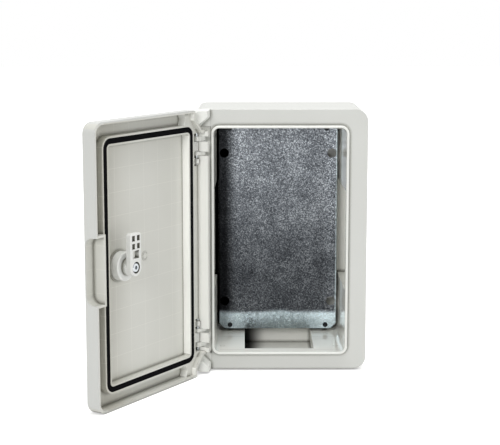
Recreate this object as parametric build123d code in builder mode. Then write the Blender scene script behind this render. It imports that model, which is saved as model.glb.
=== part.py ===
from build123d import *
import os
from math import radians, tan

# Wall-mounted plastic enclosure, standing as it hangs on a wall, with its door open.
# The wall is the plane Y = 0 and the front looks towards -Y. The origin is the centre
# of the back face. A "depth" below is a distance out from the wall, along -Y.
# The door and all that it carries are modelled shut and swung open at the end.

os.makedirs("parts", exist_ok=True)

# Case
case_width = 198.0
case_height = 300.0
case_depth = 113.0
case_corner = 14.0
case_draft = 0.45
side_wall = 3.0
back_wall = 3.5
flange_thickness = 3.0
back_edge_round = 3.0
front_edge_round = 0.8
overlap = 1.0

# Opening, the raised lip round it and the corner pillars beside it
side_border = 24.2
end_border = 21.0
opening_corner = 6.5
opening_draft = 1.0
lip_thickness = 2.8
lip_height = 4.7
lip_edge = 0.7
pillar_wall = 2.8
pillar_length = 71.5
pillar_width = 34.8
pillar_corner = 2.0
pocket_margin = 1.0
rim_depth = 11.5

# Hinge side of the case: a lowered strip between two corner blocks
strip_margin = 0.4
strip_drop = 5.0
block_width = 20.6
block_short = 8.4
block_long = 19.0
block_tip = 10.0
block_lean = 2.8
block_draft = 0.9
block_corner = 9.0

# Wall fixings in the back of the case, behind the mounting plate
fixing_inset_x = 49.0
fixing_inset_z = 50.0
fixing_hole = 6.5
fixing_boss = 15.0
fixing_boss_height = 12.0
fixing_seat = 11.0
fixing_seat_depth = 7.0

# Mounting plate and what holds it
plate_gap_side = 3.8
plate_gap_end = 5.0
plate_thickness = 1.5
plate_front = 23.0
plate_corner = 7.0
plate_fold = 6.0
plate_fold_margin = 1.0
plate_fold_radius = 1.0
plate_hole = 11.0
plate_hole_inset_x = 7.0
plate_hole_inset_z = 34.0
screw_inset_x = 13.25
screw_inset_z = 4.5
boss_diameter = 10.0
insert_diameter = 5.6
insert_length = 9.0
insert_relief = 2.0
insert_clearance = 0.02
screw_thread = 4.0
screw_head = 5.8
screw_head_height = 1.3
screw_length = 10.0
screw_clearance = 0.25
screw_crown = 0.6
screw_recess = 2.4
screw_recess_width = 0.6
screw_recess_depth = 0.7

# Door
door_overhang = 1.5
door_thickness = 17.0
door_corner = 12.5
door_edge_round = 2.5
skirt_thickness = 3.0
panel_thickness = 3.0
rim_gap = 0.4
hinge_skirt_reach = 3.0
notch_edge = 1.0
notch_tip = 8.5
notch_height = 22.0
notch_round = 1.5
ledge_height = 3.7

# Seal channel in the door and the seal in it
channel_width = 6.0
channel_wall = 2.0
channel_setin = 3.5
lip_to_seal = 0.3
seal_thickness = 6.0
seal_clearance = 0.05
seal_edge = 0.6

# Webs between the channel and the skirt at the hinge corners, and the gate mark
web_length = 15.0
web_waist = 3.0
web_top = 25.0
gate_ring = 10.0
gate_ring_width = 0.6
gate_disc = 6.4
gate_height = 0.3

# Finger recess in the free edge of the door
recess_height = 70.0
recess_centre = -0.7
recess_reach = 13.3
recess_wall = 2.4
recess_front_gap = 2.2
recess_corner = 9.0

# Hinges
hinge_in = 5.3
open_angle = 123.0
pin_diameter = 2.5
pin_chamfer = 0.3
pin_clearance = 0.05
barrel_radius = 2.1
eye_radius = 3.1
eye_gap = 0.3
arm_thickness = 3.0
arm_reach = 8.2
arm_start = 4.2
arm_start_back = 1.6
arm_back = 6.5
arm_gap = 0.5
hinge_end_gap = 25.5
pin_length = 36.0
eye_outer = (4.0, 9.0)
eye_inner = (21.0, 25.0)
barrel_span = (9.5, 20.5)
tip_span = (28.0, 35.0)
tip_sides = 8
tip_shift = 1.0
leaf_thickness = 1.4
leaf_gap = 1.0
leaf_slope = 2.0
leaf_skirt_gap = 0.1
foot_thickness = 2.0
foot_width = 9.0
foot_clearance = 0.1
foot_margin = 1.0
hinge_screw_diameter = 3.0
hinge_screw_head = 5.5
hinge_screw_head_height = 2.2

# Lock
lock_setback = 53.5
lock_height = -3.0
lock_barrel = 22.0
lock_hole_clearance = 0.2
lock_flange = 30.0
lock_flange_height = 3.0
lock_flange_edge = 1.0
lock_pad_diameter = 34.0
lock_pad_height = 1.0
gasket_thickness = 0.6
gasket_margin = 1.0
drum_diameter = 31.0
drum_length = 10.0
drum_floor = 2.0
drum_edge = 1.0
spindle_head = 17.0
spindle_head_depth = 6.0
spindle_sink = 0.5
spindle_shaft = 9.0
spindle_clearance = 0.05
spindle_square = 7.0
key_slot_width = 2.6
key_slot_length = 11.0
key_slot_depth = 3.0
hub_gap = 0.3
lever_width = 18.4
lever_length = 36.2
lever_thickness = 5.8
lever_corner = 2.5
lever_edge = 0.6
lever_clearance = 0.5
lever_recess = 12.4
lever_recess_depth = 3.4
square_gap = 0.4
window_width = 4.6
window_height = 5.8
window_pitch_x = 8.2
window_pitch_z = 8.4
window_row = 22.7
pocket_start = 9.8
pocket_end = 18.2
pocket_width = 10.0
cam_screw_head = 10.4
cam_screw_head_height = 2.4
cam_screw_thread = 5.0
cam_screw_length = 10.0
cam_screw_hole = 12.0
cam_screw_edge = 0.9
cam_screw_socket = 4.6
cam_washer_diameter = 11.6
cam_washer_thickness = 0.8

# Depths and places worked out from the sizes above
flange_depth = case_depth - flange_thickness
opening_width = case_width - 2 * side_border
opening_height = case_height - 2 * end_border
pillar_reach = opening_height / 2 - pillar_length
window_half_width = opening_width / 2 - pillar_width
plate_width = opening_width - 2 * plate_gap_side
plate_height = opening_height - 2 * plate_gap_end
fixing_spacing_x = case_width - 2 * fixing_inset_x
fixing_spacing_z = case_height - 2 * fixing_inset_z
plate_hole_spacing_x = plate_width - 2 * plate_hole_inset_x
plate_hole_spacing_z = plate_height - 2 * plate_hole_inset_z
screw_spacing_x = plate_width - 2 * screw_inset_x
screw_spacing_z = plate_height - 2 * screw_inset_z
strip_width = side_border - lip_thickness - strip_margin
strip_depth = case_depth - strip_drop
strip_back = strip_depth - flange_thickness
lip_top = case_depth + lip_height
foot_span = (eye_outer[0] - foot_margin, eye_inner[1] + foot_margin)
foot_screw_spacing = (foot_span[1] - foot_span[0]) / 2 - foot_margin
door_front = case_depth + door_thickness
panel_depth = door_front - panel_thickness
rim_depth_shut = case_depth + rim_gap
hinge_rim_depth = case_depth - hinge_skirt_reach
seal_face = lip_top + lip_to_seal
channel_top = seal_face
channel_floor = seal_face + seal_thickness
left_edge = -case_width / 2
bottom_edge = -case_height / 2
door_width = case_width
door_height = case_height + 2 * door_overhang
door_left = -door_width / 2
lip_centre_width = opening_width + lip_thickness
lip_centre_height = opening_height + lip_thickness
lip_centre_corner = opening_corner + lip_thickness / 2
channel_outer_width = lip_centre_width + channel_width + 2 * channel_wall
channel_outer_height = lip_centre_height + channel_width + 2 * channel_wall
hinge_x = left_edge + hinge_in
hinge_depth = panel_depth - eye_gap - eye_radius
hinge_top = case_height / 2 - hinge_end_gap
leaf_right = -channel_outer_width / 2 - leaf_gap
hinge_axis = Axis((hinge_x, -hinge_depth, 0), (0, 0, 1))
plate_back = plate_front - plate_thickness
lock_x = door_width / 2 - lock_setback
lever_front = flange_depth - lever_clearance
lever_back = lever_front - lever_thickness
pad_face = panel_depth - lock_pad_height
drum_face = pad_face - drum_length
gasket_face = door_front + gasket_thickness


def draft_inset(depth):
    """Distance that each outer wall of the case stands in at a depth, from its draft."""
    return (case_depth - depth) * tan(radians(case_draft))


def ring_sketch(depth, width):
    """Rounded ring of a given width along the line of the lip, at a depth."""
    with BuildSketch(Plane.XZ.offset(depth)) as ring:
        RectangleRounded(
            lip_centre_width + width, lip_centre_height + width, lip_centre_corner + width / 2
        )
        RectangleRounded(
            lip_centre_width - width,
            lip_centre_height - width,
            lip_centre_corner - width / 2,
            mode=Mode.SUBTRACT,
        )
    return ring.sketch


def corner_block(sign):
    """Hinge-side corner block of the case, on the lower (-1) or the upper (+1) corner."""
    with BuildPart() as block:
        for depth, lean, draw in ((case_depth, 0.0, 0.0), (door_front, block_lean, block_draft)):
            with BuildSketch(Plane.XZ.offset(depth)) as section:
                with BuildLine():
                    Polyline(
                        (left_edge + draw, bottom_edge + draw),
                        (left_edge + block_width - lean, bottom_edge + draw),
                        (left_edge + block_width - lean, bottom_edge + block_short - draw),
                        (left_edge + block_tip - lean, bottom_edge + block_long - lean),
                        (left_edge + draw, bottom_edge + block_long - lean),
                        close=True,
                    )
                make_face()
                outer_corner = section.vertices().sort_by(Axis.X)[:2].sort_by(Axis.Y)[:1]
                fillet(outer_corner, block_corner)
        loft(ruled=True)
    return block.part if sign < 0 else block.part.mirror(Plane.XY)


def door_outline(inset):
    """Outline of the door with its two hinge-side notches, drawn in by an inset."""
    notch_x = door_left + block_width + notch_edge
    low_z = bottom_edge
    with BuildSketch() as outline:
        RectangleRounded(door_width, door_height, door_corner)
        with BuildLine():
            Polyline(
                (door_left - notch_height, low_z + notch_height),
                (door_left + notch_tip, low_z + notch_height),
                (notch_x, low_z + block_short),
                (notch_x, low_z - notch_height),
                (door_left - notch_height, low_z - notch_height),
                close=True,
            )
        notch = make_face(mode=Mode.PRIVATE)
        add(notch, mode=Mode.SUBTRACT)
        add(mirror(notch, about=Plane.XZ, mode=Mode.PRIVATE), mode=Mode.SUBTRACT)
        near_hinge = outline.vertices().filter_by_position(
            Axis.X, door_left - overlap, notch_x + overlap
        )
        fillet(near_hinge, notch_round)
        if inset:
            offset(amount=-inset, mode=Mode.REPLACE)
    return outline.sketch


def hinge_levels(span):
    """Heights of a span along the pin, counted from the pin's outer end, for both hinges."""
    low, high = sorted((hinge_top - span[0], hinge_top - span[1]))
    return ((low, high), (-high, -low))


lower_block = corner_block(-1)
upper_block = corner_block(+1)

# Case: one moulding, cored from the front by the opening, the mid-height recesses and
# the end windows, and from the back by a pocket in each corner pillar
with BuildPart() as body:
    inset = draft_inset(0)
    with BuildSketch(Plane.XZ):
        RectangleRounded(case_width - 2 * inset, case_height - 2 * inset, case_corner - inset)
    extrude(amount=case_depth, taper=-case_draft)
    fillet(body.faces().sort_by(Axis.Y)[-1].edges(), back_edge_round)
    fillet(body.faces().sort_by(Axis.Y)[0].edges(), front_edge_round)

    # Lowered strip that the door's hinge-side skirt swings through
    with BuildSketch(Plane.XZ.offset(strip_depth)):
        with Locations((left_edge + strip_width / 2, 0)):
            Rectangle(strip_width, case_height - 2 * block_long)
    extrude(amount=strip_drop, mode=Mode.SUBTRACT)
    add(lower_block)
    add(upper_block)

    # Raised lip
    extrude(ring_sketch(case_depth, lip_thickness), amount=lip_height)
    level_faces = body.faces().filter_by(Axis.Y)
    lip_face = level_faces.filter_by_position(Axis.Y, -lip_top - lip_edge, -lip_top + lip_edge)
    chamfer(lip_face.edges(), lip_edge)

    # Opening, narrowing towards the back with its draft
    inset = (lip_top - back_wall) * tan(radians(opening_draft))
    with BuildSketch(Plane.XZ.offset(back_wall)):
        RectangleRounded(
            opening_width - 2 * inset, opening_height - 2 * inset, opening_corner - inset
        )
    extrude(amount=lip_top - back_wall, taper=-opening_draft, mode=Mode.SUBTRACT)

    # Recesses behind the flange at mid height, one on each side
    inner_half = case_width / 2 - side_wall
    for side, front_of_recess in ((-1, strip_back), (1, flange_depth)):
        with BuildSketch(Plane.XZ.offset(back_wall)):
            with Locations((side * inner_half / 2, 0)):
                Rectangle(inner_half - draft_inset(back_wall), 2 * pillar_reach)
        extrude(amount=front_of_recess - back_wall, mode=Mode.SUBTRACT)

    # End windows behind the deep rim, top and bottom
    with BuildSketch(Plane.XZ.offset(back_wall)):
        Rectangle(2 * window_half_width, case_height - 2 * side_wall - 2 * draft_inset(back_wall))
    extrude(amount=case_depth - rim_depth - back_wall, mode=Mode.SUBTRACT)

    # Pockets in the pillars, open at the back
    for side, front_of_pocket in ((-1, strip_back), (1, flange_depth)):
        with BuildSketch(Plane.XZ) as pockets:
            with Locations((side * inner_half / 2, 0)):
                Rectangle(inner_half - pocket_margin, case_height - 2 * (side_wall + pocket_margin))
            Rectangle(
                opening_width + 2 * pillar_wall, opening_height + 2 * pillar_wall, mode=Mode.SUBTRACT
            )
            Rectangle(case_width, 2 * (pillar_reach + pillar_wall), mode=Mode.SUBTRACT)
            Rectangle(2 * (window_half_width + pillar_wall), case_height, mode=Mode.SUBTRACT)
            fillet(pockets.vertices(), pillar_corner)
        extrude(amount=front_of_pocket, mode=Mode.SUBTRACT)

    # Bosses under the mounting plate, each with a hole for a threaded insert
    with BuildSketch(Plane.XZ.offset(back_wall - overlap)):
        with GridLocations(screw_spacing_x, screw_spacing_z, 2, 2):
            Circle(boss_diameter / 2)
    extrude(amount=plate_back - back_wall + overlap)
    with BuildSketch(Plane.XZ.offset(plate_back - insert_length - insert_relief)):
        with GridLocations(screw_spacing_x, screw_spacing_z, 2, 2):
            Circle(insert_diameter / 2 + insert_clearance)
    extrude(amount=insert_length + insert_relief, mode=Mode.SUBTRACT)

    # Wells for the wall screws
    with BuildSketch(Plane.XZ.offset(back_wall - overlap)):
        with GridLocations(fixing_spacing_x, fixing_spacing_z, 2, 2):
            Circle(fixing_boss / 2)
    extrude(amount=fixing_boss_height + overlap)
    with BuildSketch(Plane.XZ.offset(back_wall + fixing_boss_height - fixing_seat_depth)):
        with GridLocations(fixing_spacing_x, fixing_spacing_z, 2, 2):
            Circle(fixing_seat / 2)
    extrude(amount=fixing_seat_depth, mode=Mode.SUBTRACT)
    with BuildSketch(Plane.XZ):
        with GridLocations(fixing_spacing_x, fixing_spacing_z, 2, 2):
            Circle(fixing_hole / 2)
    extrude(amount=back_wall + fixing_boss_height, mode=Mode.SUBTRACT)

    # Seats for the hinge brackets, with the holes of their screws
    for low, high in hinge_levels(foot_span):
        with BuildSketch(Plane.XZ.offset(strip_depth - foot_thickness)):
            with Locations((hinge_x + arm_reach, (low + high) / 2)):
                Rectangle(foot_width + 2 * foot_clearance, high - low + 2 * foot_clearance)
        extrude(amount=foot_thickness, mode=Mode.SUBTRACT)
        with BuildSketch(Plane.XZ.offset(strip_back)):
            with Locations((hinge_x + arm_reach, (low + high) / 2)):
                with GridLocations(0, foot_screw_spacing, 1, 2):
                    Circle(hinge_screw_diameter / 2 + screw_clearance)
        extrude(amount=flange_thickness, mode=Mode.SUBTRACT)
body.part.label = "body"
export_step(body.part, "parts/body.step")

# Mounting plate: galvanised sheet with its long edges folded back and its corners cut
with BuildPart() as mounting_plate:
    with BuildSketch(Plane.XZ.offset(plate_back)) as blank:
        Rectangle(plate_width, plate_height)
        chamfer(blank.vertices(), plate_corner)
        with GridLocations(plate_hole_spacing_x, plate_hole_spacing_z, 2, 2):
            Circle(plate_hole / 2, mode=Mode.SUBTRACT)
        with GridLocations(screw_spacing_x, screw_spacing_z, 2, 2):
            Circle(screw_thread / 2 + screw_clearance, mode=Mode.SUBTRACT)
    extrude(amount=plate_thickness)
    fold_length = plate_height - 2 * (plate_corner + plate_fold_margin)
    with BuildSketch(Plane.XZ.offset(plate_front)):
        with GridLocations(plate_width - plate_thickness, 0, 2, 1):
            Rectangle(plate_thickness, fold_length)
    extrude(amount=-plate_fold)
    front_edges = mounting_plate.edges().filter_by(Axis.Z).group_by(Axis.Y)[0]
    bends = front_edges.filter_by(lambda edge: edge.length > fold_length - plate_fold_margin)
    fillet(bends, plate_fold_radius)
mounting_plate.part.label = "mounting_plate"
export_step(mounting_plate.part, "parts/mounting_plate.step")

# Threaded inserts in the bosses
with BuildPart() as plate_inserts:
    with BuildSketch(Plane.XZ.offset(plate_back - insert_length)):
        with GridLocations(screw_spacing_x, screw_spacing_z, 2, 2):
            Circle(insert_diameter / 2)
            Circle(screw_thread / 2 + pin_clearance, mode=Mode.SUBTRACT)
    extrude(amount=insert_length)
plate_inserts.part.label = "plate_inserts"
export_step(plate_inserts.part, "parts/plate_inserts.step")

# Screws of the mounting plate, with low heads and a cross recess
with BuildPart() as plate_screws:
    with BuildSketch(Plane.XZ.offset(plate_front + screw_head_height)):
        with GridLocations(screw_spacing_x, screw_spacing_z, 2, 2):
            Circle(screw_thread / 2)
    extrude(amount=-screw_length)
    with BuildSketch(Plane.XZ.offset(plate_front)):
        with GridLocations(screw_spacing_x, screw_spacing_z, 2, 2):
            Circle(screw_head / 2)
    extrude(amount=screw_head_height)
    crowns = plate_screws.faces().filter_by(Axis.Y).group_by(Axis.Y)[0]
    chamfer(crowns.edges(), screw_crown)
    with BuildSketch(Plane.XZ.offset(plate_front + screw_head_height)):
        with GridLocations(screw_spacing_x, screw_spacing_z, 2, 2):
            Rectangle(screw_recess, screw_recess_width)
            Rectangle(screw_recess_width, screw_recess)
    extrude(amount=-screw_recess_depth, mode=Mode.SUBTRACT)
plate_screws.part.label = "plate_screws"
export_step(plate_screws.part, "parts/plate_screws.step")

# Hinge brackets on the case: a foot sunk in the strip and two bent arms, which pass
# through slots in the door's skirt as it swings
for name, index in (("hinge_bracket_top", 0), ("hinge_bracket_bottom", 1)):
    foot_low, foot_high = hinge_levels(foot_span)[index]
    with BuildPart() as bracket:
        with BuildSketch(Plane.XZ.offset(strip_depth - foot_thickness)):
            with Locations((hinge_x + arm_reach, (foot_low + foot_high) / 2)):
                Rectangle(foot_width, foot_high - foot_low)
        extrude(amount=foot_thickness)
        for span in (eye_outer, eye_inner):
            low, high = hinge_levels(span)[index]
            with BuildSketch(Plane.XY.offset(low)):
                with BuildLine():
                    Polyline(
                        (hinge_x, -hinge_depth),
                        (hinge_x + arm_start, -hinge_depth + arm_start_back),
                        (hinge_x + arm_reach, -hinge_depth + arm_back),
                        (hinge_x + arm_reach, -strip_depth),
                    )
                    offset(amount=arm_thickness / 2, side=Side.BOTH, kind=Kind.ARC)
                make_face()
                with Locations((hinge_x, -hinge_depth)):
                    Circle(eye_radius)
                    Circle(pin_diameter / 2 + pin_clearance, mode=Mode.SUBTRACT)
            extrude(amount=high - low)
        with BuildSketch(Plane.XZ.offset(strip_depth - foot_thickness)):
            with Locations((hinge_x + arm_reach, (foot_low + foot_high) / 2)):
                with GridLocations(0, foot_screw_spacing, 1, 2):
                    Circle(hinge_screw_diameter / 2 + pin_clearance)
        extrude(amount=foot_thickness, mode=Mode.SUBTRACT)
    bracket.part.label = name
    export_step(bracket.part, f"parts/{name}.step")

# Screws that hold the brackets, driven from inside the flange
with BuildPart() as hinge_screws:
    for low, high in hinge_levels(foot_span):
        for diameter, start, length in (
            (hinge_screw_diameter, strip_back, flange_thickness),
            (hinge_screw_head, strip_back - hinge_screw_head_height, hinge_screw_head_height),
        ):
            with BuildSketch(Plane.XZ.offset(start)):
                with Locations((hinge_x + arm_reach, (low + high) / 2)):
                    with GridLocations(0, foot_screw_spacing, 1, 2):
                        Circle(diameter / 2)
            extrude(amount=length)
hinge_screws.part.label = "hinge_screws"
export_step(hinge_screws.part, "parts/hinge_screws.step")


def swing_open(piece, name):
    """Swing a finished door piece about the pins to the open pose, and write it."""
    piece.part = piece.part.rotate(hinge_axis, -open_angle)
    piece.part.label = name
    export_step(piece.part, f"parts/{name}.step")


outline = door_outline(0)
inner_outline = door_outline(skirt_thickness)

# Door: a tray with a skirt, a channel for the seal, a recess for the fingers in its free
# edge and a notch round each corner block of the case
with BuildPart() as door:
    with BuildSketch(Plane.XZ.offset(rim_depth_shut)):
        add(outline)
    extrude(amount=door_front - rim_depth_shut)
    fillet(door.faces().sort_by(Axis.Y)[0].edges(), door_edge_round)
    with BuildSketch(Plane.XZ.offset(rim_depth_shut)):
        add(inner_outline)
    extrude(amount=panel_depth - rim_depth_shut, mode=Mode.SUBTRACT)

    # Deeper skirt on the hinge side
    with BuildSketch(Plane.XZ.offset(hinge_rim_depth)):
        with Locations((door_left + skirt_thickness / 2, 0)):
            Rectangle(skirt_thickness, case_height - 2 * (notch_height + notch_round))
    extrude(amount=rim_depth_shut - hinge_rim_depth + notch_round)

    # Ledge beside the hinge-side skirt, left out where the hinges sit
    ledge_right = -channel_outer_width / 2 + channel_wall / 2
    with BuildSketch(Plane.XZ.offset(panel_depth - ledge_height)):
        with Locations(((door_left + ledge_right) / 2 + skirt_thickness / 4, 0)):
            Rectangle(
                ledge_right - door_left - skirt_thickness / 2, case_height - 2 * notch_height
            )
        for low, high in hinge_levels((-pin_length, pin_length + arm_gap)):
            with Locations(((door_left + ledge_right) / 2, (low + high) / 2)):
                Rectangle(ledge_right - door_left, high - low, mode=Mode.SUBTRACT)
    extrude(amount=ledge_height)

    # Webs at the hinge corners, level with the channel
    web_left = door_left + skirt_thickness / 2
    web_right = door_left + block_width + notch_edge + web_length
    web_end = door_height / 2 - skirt_thickness / 2
    web_inner = case_height / 2 - web_top
    web_channel = channel_outer_height / 2 - channel_wall / 2
    corner_x = channel_setin - channel_outer_width / 2
    corner_z = channel_outer_height / 2 - channel_setin
    notch_side = door_left + block_width + notch_edge + skirt_thickness / 2
    notch_short = case_height / 2 - block_short - overlap
    notch_long = case_height / 2 - notch_height + skirt_thickness / 2
    for side in (-1, 1):
        with BuildSketch(Plane.XZ.offset(channel_top)):
            with BuildLine():
                Polyline(
                    (web_left, side * web_inner),
                    (ledge_right, side * web_inner),
                    (corner_x, side * corner_z),
                    (web_right, side * web_channel),
                    (web_right - web_waist, side * (web_channel + web_end) / 2),
                    (web_right, side * web_end),
                    (notch_side, side * web_end),
                    (notch_side, side * notch_short),
                    (door_left + notch_tip + skirt_thickness / 2, side * notch_long),
                    (web_left, side * notch_long),
                    close=True,
                )
            make_face()
        extrude(amount=panel_depth - channel_top)

    # Walls of the seal channel, and its floor
    walls = ring_sketch(channel_top, channel_width + 2 * channel_wall)
    extrude(walls, amount=panel_depth - channel_top)
    groove = ring_sketch(channel_top, channel_width)
    extrude(groove, amount=channel_floor - channel_top, mode=Mode.SUBTRACT)

    # Finger recess: first its own walls inside the skirt, then the hollow
    recess_floor = door_width / 2 - recess_reach
    recess_front = door_front - recess_front_gap
    for wall, mode in ((recess_wall, Mode.ADD), (0, Mode.SUBTRACT)):
        with BuildSketch(Plane.YZ.offset(recess_floor - wall)) as scoop:
            with BuildLine():
                Polyline(
                    (-recess_front, recess_centre - recess_height / 2 - wall),
                    (-rim_depth_shut, recess_centre - recess_height / 2 - wall),
                    (-rim_depth_shut, recess_centre + recess_height / 2 + wall),
                    (-recess_front, recess_centre + recess_height / 2 + wall),
                    close=True,
                )
            make_face()
            fillet(scoop.vertices().group_by(Axis.X)[0], recess_corner)
        reach = recess_reach + wall - (skirt_thickness / 2 if wall else -overlap)
        extrude(amount=reach, mode=mode)

    # Slots in the hinge-side skirt for the swan-neck arms
    for span in (eye_outer, eye_inner):
        for low, high in hinge_levels(span):
            with BuildSketch(Plane.XZ.offset(hinge_rim_depth - overlap)):
                with Locations((door_left + skirt_thickness / 2, (low + high) / 2)):
                    Rectangle(skirt_thickness + 2 * overlap, high - low + 2 * arm_gap)
            extrude(amount=panel_depth - hinge_rim_depth + overlap, mode=Mode.SUBTRACT)

    # Round gate mark in the middle of the panel
    with BuildSketch(Plane.XZ.offset(panel_depth - gate_height)):
        Circle(gate_ring / 2)
        Circle(gate_ring / 2 - gate_ring_width, mode=Mode.SUBTRACT)
        Circle(gate_disc / 2)
    extrude(amount=2 * gate_height)

    # Pad and hole for the lock
    with BuildSketch(Plane.XZ.offset(pad_face)):
        with Locations((lock_x, lock_height)):
            Circle(lock_pad_diameter / 2)
    extrude(amount=lock_pad_height + panel_thickness / 2)
    with BuildSketch(Plane.XZ.offset(pad_face)):
        with Locations((lock_x, lock_height)):
            Circle(lock_barrel / 2 + lock_hole_clearance)
    extrude(amount=door_front - pad_face, mode=Mode.SUBTRACT)
swing_open(door, "door")

# Seal: black foam that fills the channel up to just under the lip
with BuildPart() as door_seal:
    seal_ring = ring_sketch(seal_face, channel_width - 2 * seal_clearance)
    extrude(seal_ring, amount=channel_floor - seal_face)
    chamfer(door_seal.faces().sort_by(Axis.Y)[-1].edges(), seal_edge)
swing_open(door_seal, "door_seal")

# Hinge leaves on the door: a base, a slim barrel between the arms and a pointed end
for name, index in (("hinge_leaf_top", 0), ("hinge_leaf_bottom", 1)):
    base_low, base_high = hinge_levels((eye_outer[0], tip_span[1]))[index]
    with BuildPart() as leaf:
        with BuildSketch(Plane.XY.offset(base_low)):
            with BuildLine():
                Polyline(
                    (hinge_x + eye_radius + arm_gap, -panel_depth),
                    (leaf_right, -panel_depth),
                    (leaf_right, -panel_depth + leaf_thickness),
                    (hinge_x + eye_radius + arm_gap, -panel_depth + leaf_thickness),
                    close=True,
                )
            make_face()
        extrude(amount=base_high - base_low)
        for span in (barrel_span, tip_span):
            low, high = hinge_levels(span)[index]
            with BuildSketch(Plane.XY.offset(low)):
                with Locations((hinge_x, -hinge_depth)):
                    Circle(barrel_radius)
                with BuildLine():
                    Polyline(
                        (hinge_x, -hinge_depth - barrel_radius),
                        (hinge_x + eye_radius + leaf_slope, -panel_depth),
                        (leaf_right, -panel_depth),
                        (leaf_right, -panel_depth + leaf_thickness),
                        (hinge_x + barrel_radius, -hinge_depth + barrel_radius / 2),
                        (hinge_x, -hinge_depth + barrel_radius),
                        close=True,
                    )
                make_face()
            extrude(amount=high - low)
        point_low, point_high = hinge_levels(tip_span)[index]
        with BuildSketch(Plane.XY.offset(point_low + tip_shift)):
            with Locations((hinge_x + tip_shift, -hinge_depth + tip_shift)):
                RegularPolygon(eye_radius, tip_sides)
        extrude(amount=point_high - point_low - 2 * tip_shift)
        with BuildSketch(Plane.XY.offset(base_low)):
            with Locations((hinge_x, -hinge_depth)):
                Circle(pin_diameter / 2 + pin_clearance)
        extrude(amount=base_high - base_low, mode=Mode.SUBTRACT)
        skirt_face = door_left + skirt_thickness
        split(bisect_by=Plane.YZ.offset(skirt_face + leaf_skirt_gap), keep=Keep.TOP)
    swing_open(leaf, name)

# Hinge pins
for name, index in (("hinge_pin_top", 0), ("hinge_pin_bottom", 1)):
    low, high = hinge_levels((0, pin_length))[index]
    with BuildPart() as pin:
        with BuildSketch(Plane.XY.offset(low)):
            with Locations((hinge_x, -hinge_depth)):
                Circle(pin_diameter / 2)
        extrude(amount=high - low)
        chamfer(pin.edges(), pin_chamfer)
    swing_open(pin, name)

lock_axis_plane = Plane((lock_x, 0, lock_height), x_dir=(1, 0, 0), z_dir=(0, -1, 0))

# Lock housing: a round flange outside the door and a barrel through it
with BuildPart() as lock_housing:
    with BuildSketch(lock_axis_plane.offset(gasket_face)):
        Circle(lock_flange / 2)
    extrude(amount=lock_flange_height)
    chamfer(lock_housing.faces().sort_by(Axis.Y)[0].edges(), lock_flange_edge)
    with BuildSketch(lock_axis_plane.offset(drum_face + drum_floor)):
        Circle(lock_barrel / 2)
    extrude(amount=gasket_face - drum_face - drum_floor)
    with BuildSketch(lock_axis_plane.offset(drum_face + drum_floor)):
        Circle(spindle_shaft / 2 + spindle_clearance)
    extrude(amount=gasket_face + lock_flange_height - drum_face, mode=Mode.SUBTRACT)
    with BuildSketch(lock_axis_plane.offset(gasket_face + lock_flange_height - spindle_head_depth)):
        Circle(spindle_head / 2 + spindle_clearance)
    extrude(amount=spindle_head_depth, mode=Mode.SUBTRACT)
swing_open(lock_housing, "lock_housing")

# Gasket ring between the lock's flange and the door
with BuildPart() as lock_gasket:
    with BuildSketch(lock_axis_plane.offset(door_front)):
        Circle(lock_flange / 2 - gasket_margin)
        Circle(lock_barrel / 2 + lock_hole_clearance, mode=Mode.SUBTRACT)
    extrude(amount=gasket_thickness)
swing_open(lock_gasket, "lock_gasket")

# Lock drum: the cup-shaped nut on the inside of the door
with BuildPart() as lock_drum:
    with BuildSketch(lock_axis_plane.offset(drum_face)):
        Circle(drum_diameter / 2)
    extrude(amount=drum_length)
    chamfer(lock_drum.faces().sort_by(Axis.Y)[-1].edges(), drum_edge)
    with BuildSketch(lock_axis_plane.offset(drum_face + drum_floor)):
        Circle(lock_barrel / 2 + pin_clearance)
    extrude(amount=drum_length - drum_floor, mode=Mode.SUBTRACT)
    with BuildSketch(lock_axis_plane.offset(drum_face)):
        Circle(spindle_shaft / 2 + spindle_clearance)
    extrude(amount=drum_floor, mode=Mode.SUBTRACT)
swing_open(lock_drum, "lock_drum")

# Spindle: the turning core, with a slot outside and a square for the lever inside
spindle_front = gasket_face + lock_flange_height
square_end = lever_back + lever_recess_depth + square_gap
with BuildPart() as lock_spindle:
    with BuildSketch(lock_axis_plane.offset(spindle_front - spindle_head_depth)):
        Circle(spindle_head / 2)
    extrude(amount=spindle_head_depth - spindle_sink)
    with BuildSketch(lock_axis_plane.offset(spindle_front - spindle_sink)):
        Rectangle(key_slot_width, key_slot_length)
    extrude(amount=-key_slot_depth, mode=Mode.SUBTRACT)
    with BuildSketch(lock_axis_plane.offset(drum_face - hub_gap)):
        Circle(spindle_shaft / 2)
    extrude(amount=spindle_front - spindle_head_depth - drum_face + hub_gap)
    with BuildSketch(lock_axis_plane.offset(square_end)):
        Rectangle(spindle_square, spindle_square)
    extrude(amount=drum_face - hub_gap - square_end)
    with BuildSketch(lock_axis_plane.offset(square_end)):
        Circle(cam_screw_thread / 2 + pin_clearance)
    extrude(amount=cam_screw_hole, mode=Mode.SUBTRACT)
swing_open(lock_spindle, "lock_spindle")

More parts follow.
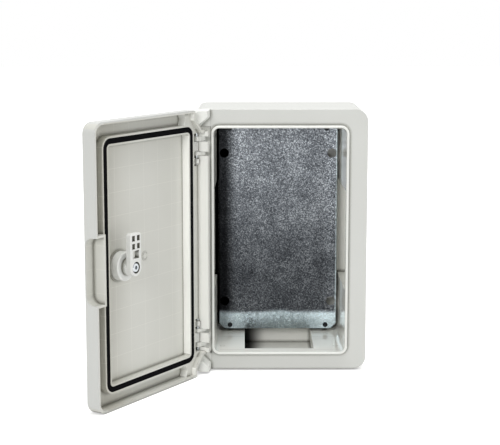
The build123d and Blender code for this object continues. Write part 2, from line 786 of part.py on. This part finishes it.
# Cam lever: a deep round hub and a flat arm with four windows and an open pocket
with BuildPart() as cam_lever:
    with BuildSketch(lock_axis_plane.offset(lever_back)) as arm_plan:
        with Locations((0, lever_length / 2)):
            Rectangle(lever_width, lever_length)
        fillet(arm_plan.vertices().group_by(Axis.Y)[-1], lever_corner)
        Circle(lever_width / 2)
    extrude(amount=lever_thickness)
    with BuildSketch(lock_axis_plane.offset(lever_back)):
        Circle(lever_width / 2)
    extrude(amount=drum_face - hub_gap - lever_back)
    with BuildSketch(lock_axis_plane.offset(lever_back)):
        with Locations((0, window_row + window_pitch_z / 2)):
            with GridLocations(window_pitch_x, window_pitch_z, 2, 2):
                Rectangle(window_width, window_height)
        with Locations((0, (pocket_start + pocket_end) / 2)):
            Rectangle(pocket_width, pocket_end - pocket_start)
    extrude(amount=lever_thickness, mode=Mode.SUBTRACT)
    with BuildSketch(lock_axis_plane.offset(lever_back)):
        Circle(lever_recess / 2)
    extrude(amount=lever_recess_depth, mode=Mode.SUBTRACT)
    with BuildSketch(lock_axis_plane.offset(lever_back)):
        Rectangle(spindle_square + 2 * pin_clearance, spindle_square + 2 * pin_clearance)
    extrude(amount=drum_face - lever_back, mode=Mode.SUBTRACT)
    chamfer(cam_lever.faces().sort_by(Axis.Y)[-1].outer_wire().edges(), lever_edge)
swing_open(cam_lever, "cam_lever")

# Washer and screw that hold the lever on the square
washer_depth = lever_back + lever_recess_depth - cam_washer_thickness
with BuildPart() as cam_washer:
    with BuildSketch(lock_axis_plane.offset(washer_depth)):
        Circle(cam_washer_diameter / 2)
        Circle(cam_screw_thread / 2 + screw_clearance, mode=Mode.SUBTRACT)
    extrude(amount=cam_washer_thickness)
swing_open(cam_washer, "cam_washer")

with BuildPart() as cam_screw:
    with BuildSketch(lock_axis_plane.offset(washer_depth)):
        Circle(cam_screw_head / 2)
    extrude(amount=-cam_screw_head_height)
    chamfer(cam_screw.faces().sort_by(Axis.Y)[-1].edges(), cam_screw_edge)
    with BuildSketch(lock_axis_plane.offset(washer_depth)):
        Circle(cam_screw_thread / 2)
    extrude(amount=cam_screw_length)
    with BuildSketch(lock_axis_plane.offset(washer_depth - cam_screw_head_height)):
        RegularPolygon(cam_screw_socket / 2, 6)
    extrude(amount=cam_screw_head_height, mode=Mode.SUBTRACT)
swing_open(cam_screw, "cam_screw")
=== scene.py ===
import math

import bpy
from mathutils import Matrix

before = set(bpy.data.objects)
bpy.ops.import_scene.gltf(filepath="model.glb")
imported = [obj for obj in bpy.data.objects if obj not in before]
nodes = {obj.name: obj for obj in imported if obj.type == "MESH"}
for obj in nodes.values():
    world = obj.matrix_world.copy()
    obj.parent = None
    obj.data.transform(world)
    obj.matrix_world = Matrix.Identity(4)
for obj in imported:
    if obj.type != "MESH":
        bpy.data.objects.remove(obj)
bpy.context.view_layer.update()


# Case: a deep tray injection-moulded in light grey ABS, screwed to the wall through its back.
# The tool is spark-eroded to a fine grain outside and polished inside, so that the walls
# round the plate shine. Their paler inner tone is painted light.
def linear(code):
    """sRGB hex text to linear RGBA: below 0.04045 divide by 12.92, above it raise to 2.4."""
    channels = [int(code[i:i + 2], 16) / 255 for i in (1, 3, 5)]
    return [c / 12.92 if c <= 0.04045 else ((c + 0.055) / 1.055) ** 2.4 for c in channels] + [1.0]


def wire(tree, node, inputs):
    """Fill a node's inputs: plain values are set, (node, output) pairs are linked."""
    for key, value in inputs.items():
        if isinstance(value, tuple) and hasattr(value[0], "outputs"):
            tree.links.new(value[0].outputs[value[1]], node.inputs[key])
        else:
            node.inputs[key].default_value = value


def add_node(tree, kind, settings, inputs):
    """Add one shader node with its settings and its inputs."""
    made = tree.nodes.new(kind)
    for key, value in settings.items():
        setattr(made, key, value)
    wire(tree, made, inputs)
    return made


def start_material(name):
    """Empty material with its principled shader and the texture coordinates."""
    material = bpy.data.materials.new(name)
    material.use_nodes = True
    tree = material.node_tree
    return material, tree, tree.nodes["Principled BSDF"], add_node(tree, "ShaderNodeTexCoord", {}, {})


def dress(node_names, material):
    """Give the CAD nodes this material in every slot."""
    for name in node_names:
        mesh = nodes[name].data
        mesh.materials.clear()
        mesh.materials.append(material)


def chain(tree, first, *steps):
    """Run a value through math steps, each an operation and its second number."""
    for operation, number in steps:
        first = add_node(tree, "ShaderNodeMath", {"operation": operation}, {0: first, 1: number}), 0
    return first


def ramped(tree, value, start, end, before, after, curve="SMOOTHSTEP"):
    """Number that goes from before to after while the value goes from start to end."""
    return add_node(tree, "ShaderNodeMapRange", {"interpolation_type": curve},
                    {"Value": value, "From Min": start, "From Max": end,
                     "To Min": before, "To Max": after}), 0


def shared(tree, share, none, full):
    """Number for a share from 0 to 1: none at 0 and full at 1."""
    return ramped(tree, share, start=0.0, end=1.0, before=none, after=full, curve="LINEAR")


def mixed(tree, share, first, second):
    """Blend of two colours, each a hex text or another node's output."""
    ends = [linear(tone) if isinstance(tone, str) else tone for tone in (first, second)]
    return add_node(tree, "ShaderNodeMix", {"data_type": "RGBA"}, {0: share, 6: ends[0], 7: ends[1]}), 2


def per_metre(millimetres):
    """Pattern scale for features of this size."""
    return 1000.0 / millimetres


def mottled(tree, place, size_mm, detail, roughness=0.5):
    """Noise with features of this size, about a mean of one half."""
    return add_node(tree, "ShaderNodeTexNoise", {},
                    {"Vector": (place, "Object"), "Scale": per_metre(size_mm),
                     "Detail": detail, "Roughness": roughness}), 0


def embossed(tree, height, depth_mm, strength):
    """Normal that is disturbed by a height pattern."""
    return add_node(tree, "ShaderNodeBump", {},
                    {"Height": height, "Distance": depth_mm / 1000, "Strength": strength}), 0


def painted_gap_shade(tree, tone, reach_mm, ease):
    """Painted shade in narrow gaps: the tone turns deep by the open share of the view, raised to a power.
    """
    view = add_node(tree, "ShaderNodeAmbientOcclusion", {"samples": 6}, {"Distance": reach_mm / 1000})
    return mixed(tree, chain(tree, (view, "AO"), ("POWER", ease)), GAP_SHADE_TONE, tone)


def apart(tree, vector):
    """X, Y and Z of a vector, as three values."""
    parts = add_node(tree, "ShaderNodeSeparateXYZ", {}, {0: vector})
    return (parts, "X"), (parts, "Y"), (parts, "Z")


def beyond(tree, value, distance):
    """1 where the value is further than this from the middle, on either side."""
    return chain(tree, value, ("ABSOLUTE", 0.0), ("GREATER_THAN", distance))


def within(tree, axes, half_width, half_height, outer_y, inner_y):
    """1 inside a box about the middle of the case."""
    narrow = chain(tree, axes[0], ("ABSOLUTE", 0.0), ("LESS_THAN", half_width))
    low = chain(tree, axes[2], ("ABSOLUTE", 0.0), ("LESS_THAN", half_height))
    deep = chain(tree, axes[1], ("GREATER_THAN", outer_y))
    short = chain(tree, axes[1], ("LESS_THAN", inner_y), ("MULTIPLY", deep))
    return chain(tree, narrow, ("MULTIPLY", low), ("MULTIPLY", short))


# Boxes of the case: half width, half height, then the depths of the outer and inner ends.
HOLLOW = (0.0965, 0.1475, -0.1095, -0.0032)      # behind the flange
MOUTH = (0.0758, 0.1300, -0.1165, -0.0032)       # opening in flange and lip
LIP = (0.0785, 0.1330, -0.1200, -0.1133)         # raised lip round the opening
STRIP = (1.0000, 0.1300, -0.1200, -0.1035)       # flat strip that carries the hinges
END_WALLS = (0.0756, 0.1296, -0.1165, -0.0032)   # top and bottom walls of the opening
NOTCH = (0.0402, 0.1475, -0.1095, -0.0032)       # notches in the end walls
PLATE_SHADOW = (0.0760, 0.1235, -0.0216, -0.0032)
STRIP_SIDES = (-0.0905, -0.0790)
END_WALL_START = 0.1262
NOTCH_START = 0.1292

SHELL_LIGHT = "#CECFCB"
SHELL_SHADE = "#C7C8C3"
SHELL_PAINTED_LIGHT = "#E4E5E0"      # lip, strip and hinge blocks: painted light, paler where the door shades the strip and the lip's edge catches light
# Inner walls: painted light, a paler copy of the shell's tone
INSIDE_PAINTED_LIGHT = "#F6F6F0"
MARK_TONE = "#A9AAA2"
GAP_SHADE_TONE = "#4A4836"
SHADOW = "#0A0A08"
CLOUD_MM = 70.0               # flow clouds of the melt
GRAIN_MM = 0.9                # real grain is 0.1 mm, drawn coarser so that it shows
GRAIN_DEPTH_MM = 0.02
ABS_IOR = 1.53

abs_shell, tree, shader, place = start_material("moulded_abs_case")
axes = apart(tree, (place, "Object"))
x, y, z = axes
inside = chain(tree, within(tree, axes, *HOLLOW), ("MAXIMUM", within(tree, axes, *MOUTH)))
grained = mixed(tree, mottled(tree, place, CLOUD_MM, detail=3.0), SHELL_LIGHT, SHELL_SHADE)
hinge_side = chain(tree, x, ("LESS_THAN", STRIP_SIDES[1]))
# Painted light: the lip and the hinge strip are painted paler than the shell.
painted_light_strip = chain(tree, y, ("LESS_THAN", STRIP[3]), ("MULTIPLY", hinge_side),
               ("MAXIMUM", within(tree, axes, *LIP)))
tone = mixed(tree, inside, mixed(tree, painted_light_strip, grained, SHELL_PAINTED_LIGHT), INSIDE_PAINTED_LIGHT)

# Step in the end walls of the opening, and the round marks of the tool's ejector pins.
STEP_DEPTHS = (0.049, 0.106)
EJECTORS = ((0.0575, 0.034), (0.0660, 0.090))    # distance from the middle, depth
EJECTOR_RADIUS = 0.0026
MARK_WIDTH = 0.0004
MARK_SHARE = 0.55
end_faces = chain(tree, beyond(tree, z, END_WALL_START), ("MULTIPLY", within(tree, axes, *END_WALLS)))
pads = chain(tree, beyond(tree, x, NOTCH[0]), ("MULTIPLY", end_faces), ("MULTIPLY", MARK_SHARE))
marks = 0.0
for depth in STEP_DEPTHS:
    line = chain(tree, y, ("ADD", depth), ("ABSOLUTE", 0.0), ("LESS_THAN", MARK_WIDTH))
    marks = chain(tree, line, ("MAXIMUM", marks))
for pin_x, depth in EJECTORS:
    spot = add_node(tree, "ShaderNodeCombineXYZ", {},
                    {"X": chain(tree, x, ("ABSOLUTE", 0.0), ("SUBTRACT", pin_x)),
                     "Y": chain(tree, y, ("ADD", depth))})
    away = add_node(tree, "ShaderNodeVectorMath", {"operation": "LENGTH"}, {0: (spot, 0)})
    rim = chain(tree, (away, "Value"), ("SUBTRACT", EJECTOR_RADIUS), ("ABSOLUTE", 0.0),
                ("LESS_THAN", MARK_WIDTH))
    marks = chain(tree, rim, ("MAXIMUM", marks))
tone = mixed(tree, chain(tree, marks, ("MULTIPLY", pads)), tone, MARK_TONE)

# Painted shade darkens narrow gaps, except on the strip. Behind the plate and at the left of
# the notches a black painted shadow is laid, which doesn't shine either.
STRIP_UNSHADED = 0.95
strip = chain(tree, x, ("GREATER_THAN", STRIP_SIDES[0]), ("MULTIPLY", within(tree, axes, *STRIP)))
unshaded_strip = chain(tree, strip, ("MULTIPLY", hinge_side), ("MULTIPLY", STRIP_UNSHADED))
gap_shaded = mixed(tree, unshaded_strip, painted_gap_shade(tree, tone, reach_mm=4.0, ease=1.8), tone)
# Painted shadow: black behind the plate and at the notches' left, with no specular there.
unlit = ramped(tree, x, start=0.050, end=0.062, before=1.0, after=0.0)
plate_painted_shadow = chain(tree, within(tree, axes, *PLATE_SHADOW), ("MULTIPLY", unlit))
notch = chain(tree, within(tree, axes, *NOTCH), ("MULTIPLY", beyond(tree, z, NOTCH_START)))
notch_left = ramped(tree, x, start=-0.037, end=-0.013, before=0.96, after=0.0)
painted_shadow = chain(tree, notch, ("MULTIPLY", notch_left), ("MAXIMUM", plate_painted_shadow))
grain = mottled(tree, place, GRAIN_MM, detail=2.0)
wire(tree, shader, {"Base Color": mixed(tree, painted_shadow, gap_shaded, SHADOW),
                    "Roughness": shared(tree, inside, none=0.42, full=0.10),
                    "Specular IOR Level": shared(tree, painted_shadow, none=0.5, full=0.0),
                    "Normal": embossed(tree, grain, GRAIN_DEPTH_MM, strength=0.25),
                    "IOR": ABS_IOR})
dress(["body"], abs_shell)

# Mounting plate: hot-dip galvanised steel sheet, sheared, its long edges folded back, held by
# four screws. The zinc freezes in crystals of a millimetre or two, each leaning its own way.
ZINC_DARK = "#1C1E22"
ZINC_MID = "#64686D"
ZINC_BRIGHT = "#C6CBCE"
BAND_REFLECTION_TONE = "#A3B2B6"
FOLD_HIGHLIGHT_TONE = "#B9C6CA"         # painted highlight along the right fold
CRYSTAL_MM = 1.3
CRYSTAL_LEAN = 0.10
SPECK_MM = 1.25
PATCH_MM = 30.0
PATCH_SHARE = 0.22
REFLECTION_BAND_TOP = -0.1035            # top of the lowest strip, painted paler: a painted reflection of the bright bottom wall
REFLECTION_BAND_SHARE = 0.6
LEFT_EDGE = -0.0710

zinc, tree, shader, place = start_material("galvanised_sheet")
x, y, z = apart(tree, (place, "Object"))
specks = mottled(tree, place, SPECK_MM, detail=3.0, roughness=0.75)
patches = mottled(tree, place, PATCH_MM, detail=4.0, roughness=0.55)
summed = chain(tree, patches, ("MULTIPLY", PATCH_SHARE), ("ADD", specks))
ramp = add_node(tree, "ShaderNodeValToRGB", {}, {0: summed})
stops = ramp.color_ramp.elements
stops[0].position, stops[0].color = 0.43, linear(ZINC_DARK)
stops[1].position, stops[1].color = 0.85, linear(ZINC_BRIGHT)
stops.new(0.64).color = linear(ZINC_MID)
# Painted reflections: the plate is painted dark at the left, where it mirrors the dark left side of the
# case, and painted brighter upwards and rightwards.
from_left = ramped(tree, x, start=LEFT_EDGE + 0.007, end=LEFT_EDGE + 0.024, before=0.09, after=1.0)
from_top = ramped(tree, z, start=-0.07, end=0.11, before=0.34, after=1.0)
from_right = ramped(tree, x, start=0.050, end=0.0705, before=1.0, after=1.8)
upper = chain(tree, from_left, ("MULTIPLY", from_top), ("MULTIPLY", from_right))
to_right = ramped(tree, x, start=0.025, end=0.068, before=1.4, after=2.2)
lower = chain(tree, from_left, ("POWER", 0.3), ("MULTIPLY", to_right))
# Painted reflection: the lowest strip is painted paler, with a ragged top edge.
ragged = chain(tree, patches, ("SUBTRACT", 0.5), ("MULTIPLY", 0.008), ("ADD", z))
painted_band = ramped(tree, ragged, start=REFLECTION_BAND_TOP + 0.004, end=REFLECTION_BAND_TOP - 0.003, before=0.0, after=1.0)
level = add_node(tree, "ShaderNodeMix", {"data_type": "FLOAT"}, {0: painted_band, 2: upper, 3: lower})
band_reflected = mixed(tree, chain(tree, painted_band, ("MULTIPLY", REFLECTION_BAND_SHARE)), (ramp, 0), BAND_REFLECTION_TONE)
painted_reflections = add_node(tree, "ShaderNodeVectorMath", {"operation": "SCALE"}, {0: band_reflected, "Scale": (level, 0)})
# Painted highlight: a pale line along the right fold.
fold_highlight = ramped(tree, x, start=0.0688, end=0.0697, before=0.0, after=0.75, curve="LINEAR")
crystals = add_node(tree, "ShaderNodeTexVoronoi", {},
                    {"Vector": (place, "Object"), "Scale": per_metre(CRYSTAL_MM)})
lean = add_node(tree, "ShaderNodeVectorMath", {"operation": "SUBTRACT"},
                {0: (crystals, "Color"), 1: (0.5, 0.5, 0.5)})
tilt = add_node(tree, "ShaderNodeVectorMath", {"operation": "SCALE"}, {0: (lean, 0), "Scale": CRYSTAL_LEAN})
facing = add_node(tree, "ShaderNodeNewGeometry", {}, {})
leaning = add_node(tree, "ShaderNodeVectorMath", {"operation": "ADD"},
                   {0: (facing, "Normal"), 1: (tilt, 0)})
surface = add_node(tree, "ShaderNodeVectorMath", {"operation": "NORMALIZE"}, {0: (leaning, 0)})
wire(tree, shader, {"Base Color": mixed(tree, fold_highlight, (painted_reflections, 0), FOLD_HIGHLIGHT_TONE), "Normal": (surface, 0),
                    "Metallic": 1.0, "Roughness": 0.24})
dress(["mounting_plate"], zinc)

# Screws of the mounting plate: four pan heads with a cross recess, cold-headed in steel and
# blackened in an oxide bath, driven through the plate into its inserts.
black_oxide, tree, shader, place = start_material("black_oxide_steel")
film = mottled(tree, place, size_mm=0.8, detail=3.0)
wire(tree, shader, {"Base Color": mixed(tree, film, "#131416", "#26282B"), "Metallic": 0.7,
                    "Roughness": 0.45})
dress(["plate_screws"], black_oxide)

# Plate inserts: knurled brass bushes, turned from bar and pressed into the bosses of the case.
# The tool left fine rings along them.
brass, tree, shader, place = start_material("turned_brass")
rings = add_node(tree, "ShaderNodeTexWave", {"bands_direction": "Y"},
                 {"Vector": (place, "Object"), "Scale": per_metre(0.5), "Distortion": 0.5})
wire(tree, shader, {"Base Color": linear("#C9A45A"), "Metallic": 1.0,
                    "Roughness": shared(tree, (rings, 1), none=0.25, full=0.4)})
dress(["plate_inserts"], brass)

# Door: a shallow tray injection-moulded in the same ABS, hung on the two hinges. It shows its
# polished inner side, where the cutter's squares can still be seen faintly in the panel.
DOOR_TURN = math.radians(123.0)
HINGE = (-0.0937, -0.1236)
DOOR_INSIDE = (0.0975, 0.1498, -0.1285, 0.0)     # the box inside its outer skin, when shut
CORNER = (-0.0700, 0.1300)                       # beyond these lie the open swan-neck corners
DOOR_LIGHT = "#D0D0CA"
DOOR_SHADE = "#C8C8C0"
DOOR_OUTSIDE = "#C8C9C5"
FREE_SIDE_SHADE_TONE = "#ACA99C"
SQUARE_MM = 25.0
LINE_WIDTH = 0.0003
LINE_SHARE = 0.5
LINE_TONE = "#E9E8E0"
LIT_WALL_TONE = "#F8F8F3"
FACING_SHARE = 0.9            # cosine above which a wall counts as facing the free edge

abs_door, tree, shader, place = start_material("moulded_abs_door")
turn_x = HINGE[0] - math.cos(DOOR_TURN) * HINGE[0] + math.sin(DOOR_TURN) * HINGE[1]
turn_y = HINGE[1] - math.sin(DOOR_TURN) * HINGE[0] - math.cos(DOOR_TURN) * HINGE[1]
shut = add_node(tree, "ShaderNodeMapping", {},
                {"Vector": (place, "Object"), "Rotation": (0.0, 0.0, DOOR_TURN),
                 "Location": (turn_x, turn_y, 0.0)})
axes = apart(tree, (shut, 0))
x, y, z = axes
inside = within(tree, axes, *DOOR_INSIDE)
panel = mixed(tree, mottled(tree, place, CLOUD_MM, detail=3.0), DOOR_LIGHT, DOOR_SHADE)
# Painted shade: the panel darkens towards the free edge, up to the seal.
free_side_painted_shade = ramped(tree, x, start=0.015, end=0.080, before=0.0, after=0.6)
past_seal = ramped(tree, x, start=0.083, end=0.084, before=1.0, after=0.12, curve="LINEAR")
panel = mixed(tree, chain(tree, free_side_painted_shade, ("MULTIPLY", past_seal)), panel, FREE_SIDE_SHADE_TONE)
tone = mixed(tree, inside, DOOR_OUTSIDE, panel)
flat = add_node(tree, "ShaderNodeCombineXYZ", {}, {"X": x, "Y": z})
squares = add_node(tree, "ShaderNodeTexBrick", {"offset": 0.0},
                   {"Vector": (flat, 0), "Scale": 1.0, "Brick Width": SQUARE_MM / 1000,
                    "Row Height": SQUARE_MM / 1000, "Mortar Size": LINE_WIDTH, "Mortar Smooth": 1.0})
lines = chain(tree, (squares, "Fac"), ("MULTIPLY", inside), ("MULTIPLY", LINE_SHARE))
lined = mixed(tree, lines, tone, LINE_TONE)
# Painted shade in the door's narrow gaps, weaker at the open swan-neck corners.
corner_side = chain(tree, x, ("LESS_THAN", CORNER[0]), ("MULTIPLY", 0.75))
corner = chain(tree, beyond(tree, z, CORNER[1]), ("MULTIPLY", corner_side))
gap_shaded = mixed(tree, corner, painted_gap_shade(tree, lined, reach_mm=4.0, ease=1.5), lined)
# Walls on the hinge side that face the free edge are painted paler: painted light, where they catch the
# light.
free_edge = (math.cos(DOOR_TURN), -math.sin(DOOR_TURN), 0.0)
across = add_node(tree, "ShaderNodeVectorMath", {"operation": "DOT_PRODUCT"},
                  {0: (place, "Normal"), 1: free_edge})
at_hinge = chain(tree, x, ("LESS_THAN", 0.0), ("MULTIPLY", inside))
wall = chain(tree, (across, "Value"), ("GREATER_THAN", FACING_SHARE), ("MULTIPLY", at_hinge))
grain = mottled(tree, place, GRAIN_MM, detail=2.0)
wire(tree, shader, {"Base Color": mixed(tree, wall, gap_shaded, LIT_WALL_TONE), "Roughness": 0.32, "IOR": ABS_IOR,
                    "Normal": embossed(tree, grain, GRAIN_DEPTH_MM, strength=0.25)})
dress(["door"], abs_door)

# Seal: a black polyurethane foam cord poured into the door's channel, and the die-cut gasket
# of the same foam that the lock's flange clamps. The skin is matt with open pores.
foam, tree, shader, place = start_material("black_foam_seal")
pores = mottled(tree, place, size_mm=0.7, detail=3.0)
wire(tree, shader, {"Base Color": mixed(tree, pores, "#050506", "#0E0E10"), "Roughness": 0.85,
                    "Specular IOR Level": 0.04,
                    "Normal": embossed(tree, pores, depth_mm=0.2, strength=0.6)})
dress(["door_seal", "lock_gasket"], foam)

# Hinge leaves: the door's halves of the hinges, moulded in pale grey acetal, slightly waxy,
# and pushed on to their steel pins.
acetal, tree, shader, place = start_material("moulded_acetal")
tone = mixed(tree, mottled(tree, place, size_mm=9.0, detail=3.0), "#D9DAD6", "#CDCEC9")
# Painted shade darkens the leaves' narrow gaps.
wire(tree, shader, {"Base Color": painted_gap_shade(tree, tone, reach_mm=3.0, ease=2.8), "Roughness": 0.34})
dress(["hinge_leaf_top", "hinge_leaf_bottom"], acetal)

# Hinge brackets: the case's halves of the hinges, moulded in the shell's own grey and screwed
# down from inside. Their tone carries the strip's painted light, so that they hardly stand out against the
# strip.
bracket, tree, shader, place = start_material("moulded_abs_bracket")
tone = mixed(tree, mottled(tree, place, size_mm=9.0, detail=3.0), "#E2E3DE", "#DBDCD6")
wire(tree, shader, {"Base Color": tone, "Roughness": 0.4})
dress(["hinge_bracket_top", "hinge_bracket_bottom"], bracket)

# Pins, screws, washer and lock spindle: steel, turned and zinc-plated. Pressed or screwed in,
# with fine rings from turning that blur their shine.
plated, tree, shader, place = start_material("zinc_plated_steel")
turning = mottled(tree, place, size_mm=1.2, detail=4.0)
wire(tree, shader, {"Base Color": linear("#B9BDC0"), "Metallic": 1.0,
                    "Roughness": shared(tree, turning, none=0.14, full=0.34)})
dress(["hinge_pin_top", "hinge_pin_bottom", "hinge_screws", "cam_washer", "cam_screw", "lock_spindle"],
      plated)

# Lock: housing and nut, moulded in glass-filled nylon that is a little whiter and glossier
# than the case. The nut clamps the housing to the door.
NYLON_LIGHT = "#DFE0DD"
NYLON_SHADE = "#D4D5D1"


def nylon(name, reach_mm, ease):
    """Glass-filled nylon with painted shade that darkens its gaps over this reach."""
    material, tree, shader, place = start_material(name)
    tone = mixed(tree, mottled(tree, place, size_mm=6.0, detail=4.0), NYLON_LIGHT, NYLON_SHADE)
    wire(tree, shader, {"Base Color": painted_gap_shade(tree, tone, reach_mm, ease), "Roughness": 0.3})
    return material


dress(["lock_housing", "lock_drum"], nylon("moulded_nylon_lock", reach_mm=2.0, ease=1.3))

# Cam lever: moulded in the same nylon and held on the spindle by a screw. It is cored out in
# small windows whose walls are darkened by strong painted shade.
dress(["cam_lever"], nylon("moulded_nylon_lever", reach_mm=5.0, ease=4.0))

# Floor: a sheet of white paper under the case that takes its shadow. Seen directly it glows,
# more so with distance, so that it runs into the white surround without an edge.
FLOOR_Z = -0.1516
FLOOR_SPAN = 6.0
WHITE_RAYS = ("Is Camera Ray", "Is Glossy Ray", "Is Transmission Ray")


def seen_directly(tree):
    """1 for rays that show the surround itself: camera, glossy or transmission rays."""
    ray = add_node(tree, "ShaderNodeLightPath", {}, {})
    camera, glossy, through = ((ray, output) for output in WHITE_RAYS)
    return chain(tree, camera, ("MAXIMUM", glossy), ("MAXIMUM", through))


floor_mesh = bpy.data.meshes.new("paper_floor")
corners = [(side_x * FLOOR_SPAN, side_y * FLOOR_SPAN, FLOOR_Z)
           for side_x, side_y in ((-1, -1), (1, -1), (1, 1), (-1, 1))]
floor_mesh.from_pydata(corners, [], [(0, 1, 2, 3)])
floor = bpy.data.objects.new("paper_floor", floor_mesh)
bpy.context.scene.collection.objects.link(floor)
paper, tree, shader, place = start_material("white_paper")
away = add_node(tree, "ShaderNodeVectorMath", {"operation": "LENGTH"}, {0: (place, "Object")})
rise = ramped(tree, (away, "Value"), start=0.2, end=1.1, before=0.40, after=1.0)
wire(tree, shader, {"Base Color": linear("#F4F4F4"), "Roughness": 0.9, "Emission Color": linear("#FFFFFF"),
                    "Emission Strength": chain(tree, seen_directly(tree), ("MULTIPLY", rise))})
floor_mesh.materials.append(paper)

# Studio: an even white surround, dimmer as a light than to the eye, and three soft boxes. The
# key stands at the left, a fill at the right, and the third hangs above.
world = bpy.data.worlds.new("white_surround")
world.use_nodes = True
bpy.context.scene.world = world
tree = world.node_tree
wire(tree, tree.nodes["Background"], {"Color": linear("#FFFFFF"),
                                      "Strength": shared(tree, seen_directly(tree), none=0.42, full=1.0)})

for name, stand, aim, size, watts in (
    ("left_key_softbox", (-0.75, -2.15, 0.9), (0.0, -0.1, 0.0), 0.8, 16.2),
    ("right_fill_softbox", (1.9, -0.9, 0.7), (0.0, -0.15, 0.0), 1.0, 6.5),
    ("top_softbox", (0.1, -0.2, 1.9), (0.0, -0.05, 0.0), 1.2, 27.5),
):
    lamp = bpy.data.lights.new(name, "AREA")
    lamp.size = size
    lamp.energy = watts
    holder = bpy.data.objects.new(name, lamp)
    bpy.context.scene.collection.objects.link(holder)
    x, y, z = (end - start for start, end in zip(stand, aim))
    holder.location = stand
    holder.rotation_euler = (math.atan2(math.hypot(x, y), -z), 0.0, math.atan2(y, x) - math.pi / 2)

# Camera: at the photograph's viewpoint, 1.7 m in front of the case and a little above its
# middle, with a long lens on a full-frame sensor.
lens = bpy.data.cameras.new("photo_view")
lens.lens = 101.17
lens.sensor_width = 36.0
viewer = bpy.data.objects.new("photo_view", lens)
viewer.location = (-0.0416, -1.6853, 0.28585)
viewer.rotation_euler = (math.radians(80.451), 0.0, math.radians(-0.28))
bpy.context.scene.collection.objects.link(viewer)
bpy.context.scene.camera = viewer
bpy.context.scene.view_settings.view_transform = "Standard"
